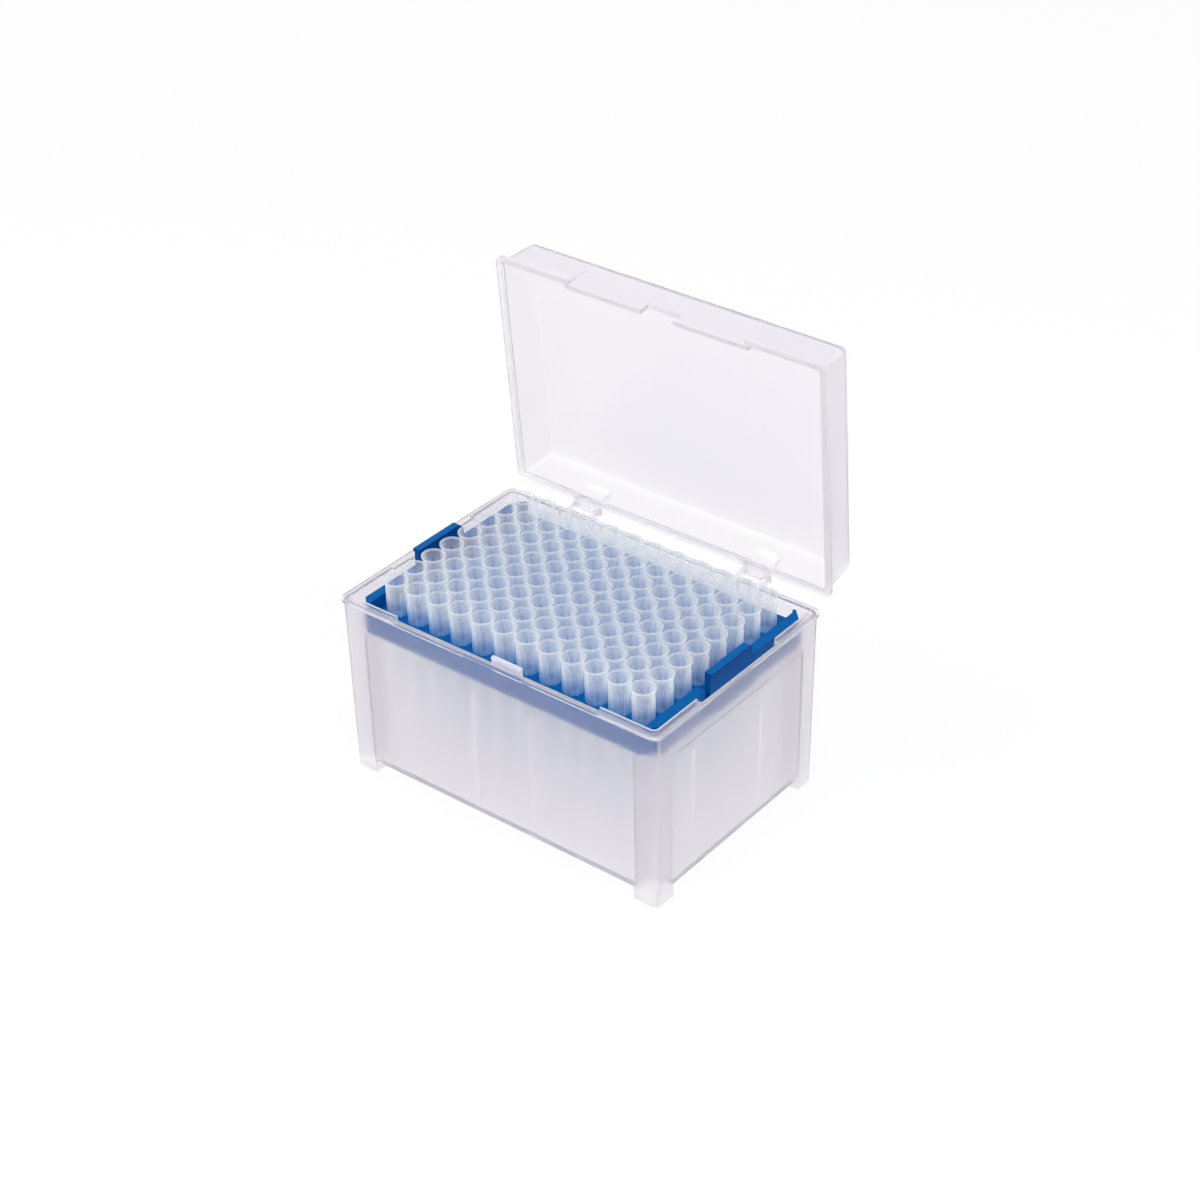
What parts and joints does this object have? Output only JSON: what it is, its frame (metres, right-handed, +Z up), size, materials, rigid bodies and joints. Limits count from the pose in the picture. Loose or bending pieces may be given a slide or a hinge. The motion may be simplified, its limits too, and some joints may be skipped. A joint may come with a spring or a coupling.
{
  "type": "box of pipette tips",
  "caption": "Hinged-lid polypropylene box with a blue rack that holds a grid of disposable pipette tips, mouths up, for a pipette to pick up.",
  "frame": {"origin": "centre of the base box footprint, on the table that the four feet stand on", "axes": "+X along the long side, +Y towards the hinge side, +Z up"},
  "size_m": [0.1278, 0.1055, 0.1535],
  "materials": {
    "natural_plastic": "satin, translucent",
    "blue_plastic": "satin",
    "tip_plastic": "satin, translucent"
  },
  "bodies": {
    "base": {"base_box": "natural_plastic", "tip_rack": "blue_plastic", "tips_column_01": "tip_plastic", "tips_column_02": "tip_plastic", "tips_column_03": "tip_plastic", "tips_column_04": "tip_plastic", "tips_column_05": "tip_plastic", "tips_column_06": "tip_plastic", "tips_column_07": "tip_plastic", "tips_column_08": "tip_plastic", "tips_column_09": "tip_plastic", "tips_column_10": "tip_plastic", "tips_column_11": "tip_plastic", "tips_column_12": "tip_plastic"},
    "lid": {"lid": "natural_plastic"}
  },
  "joints": [
    {"name": "lid_hinge", "type": "hinge", "parent": "base", "child": "lid", "pos_m": [0, 0.0462, 0.0643], "axis": [-1, 0, 0], "range_deg": [-85.1, 0]}
  ]
}
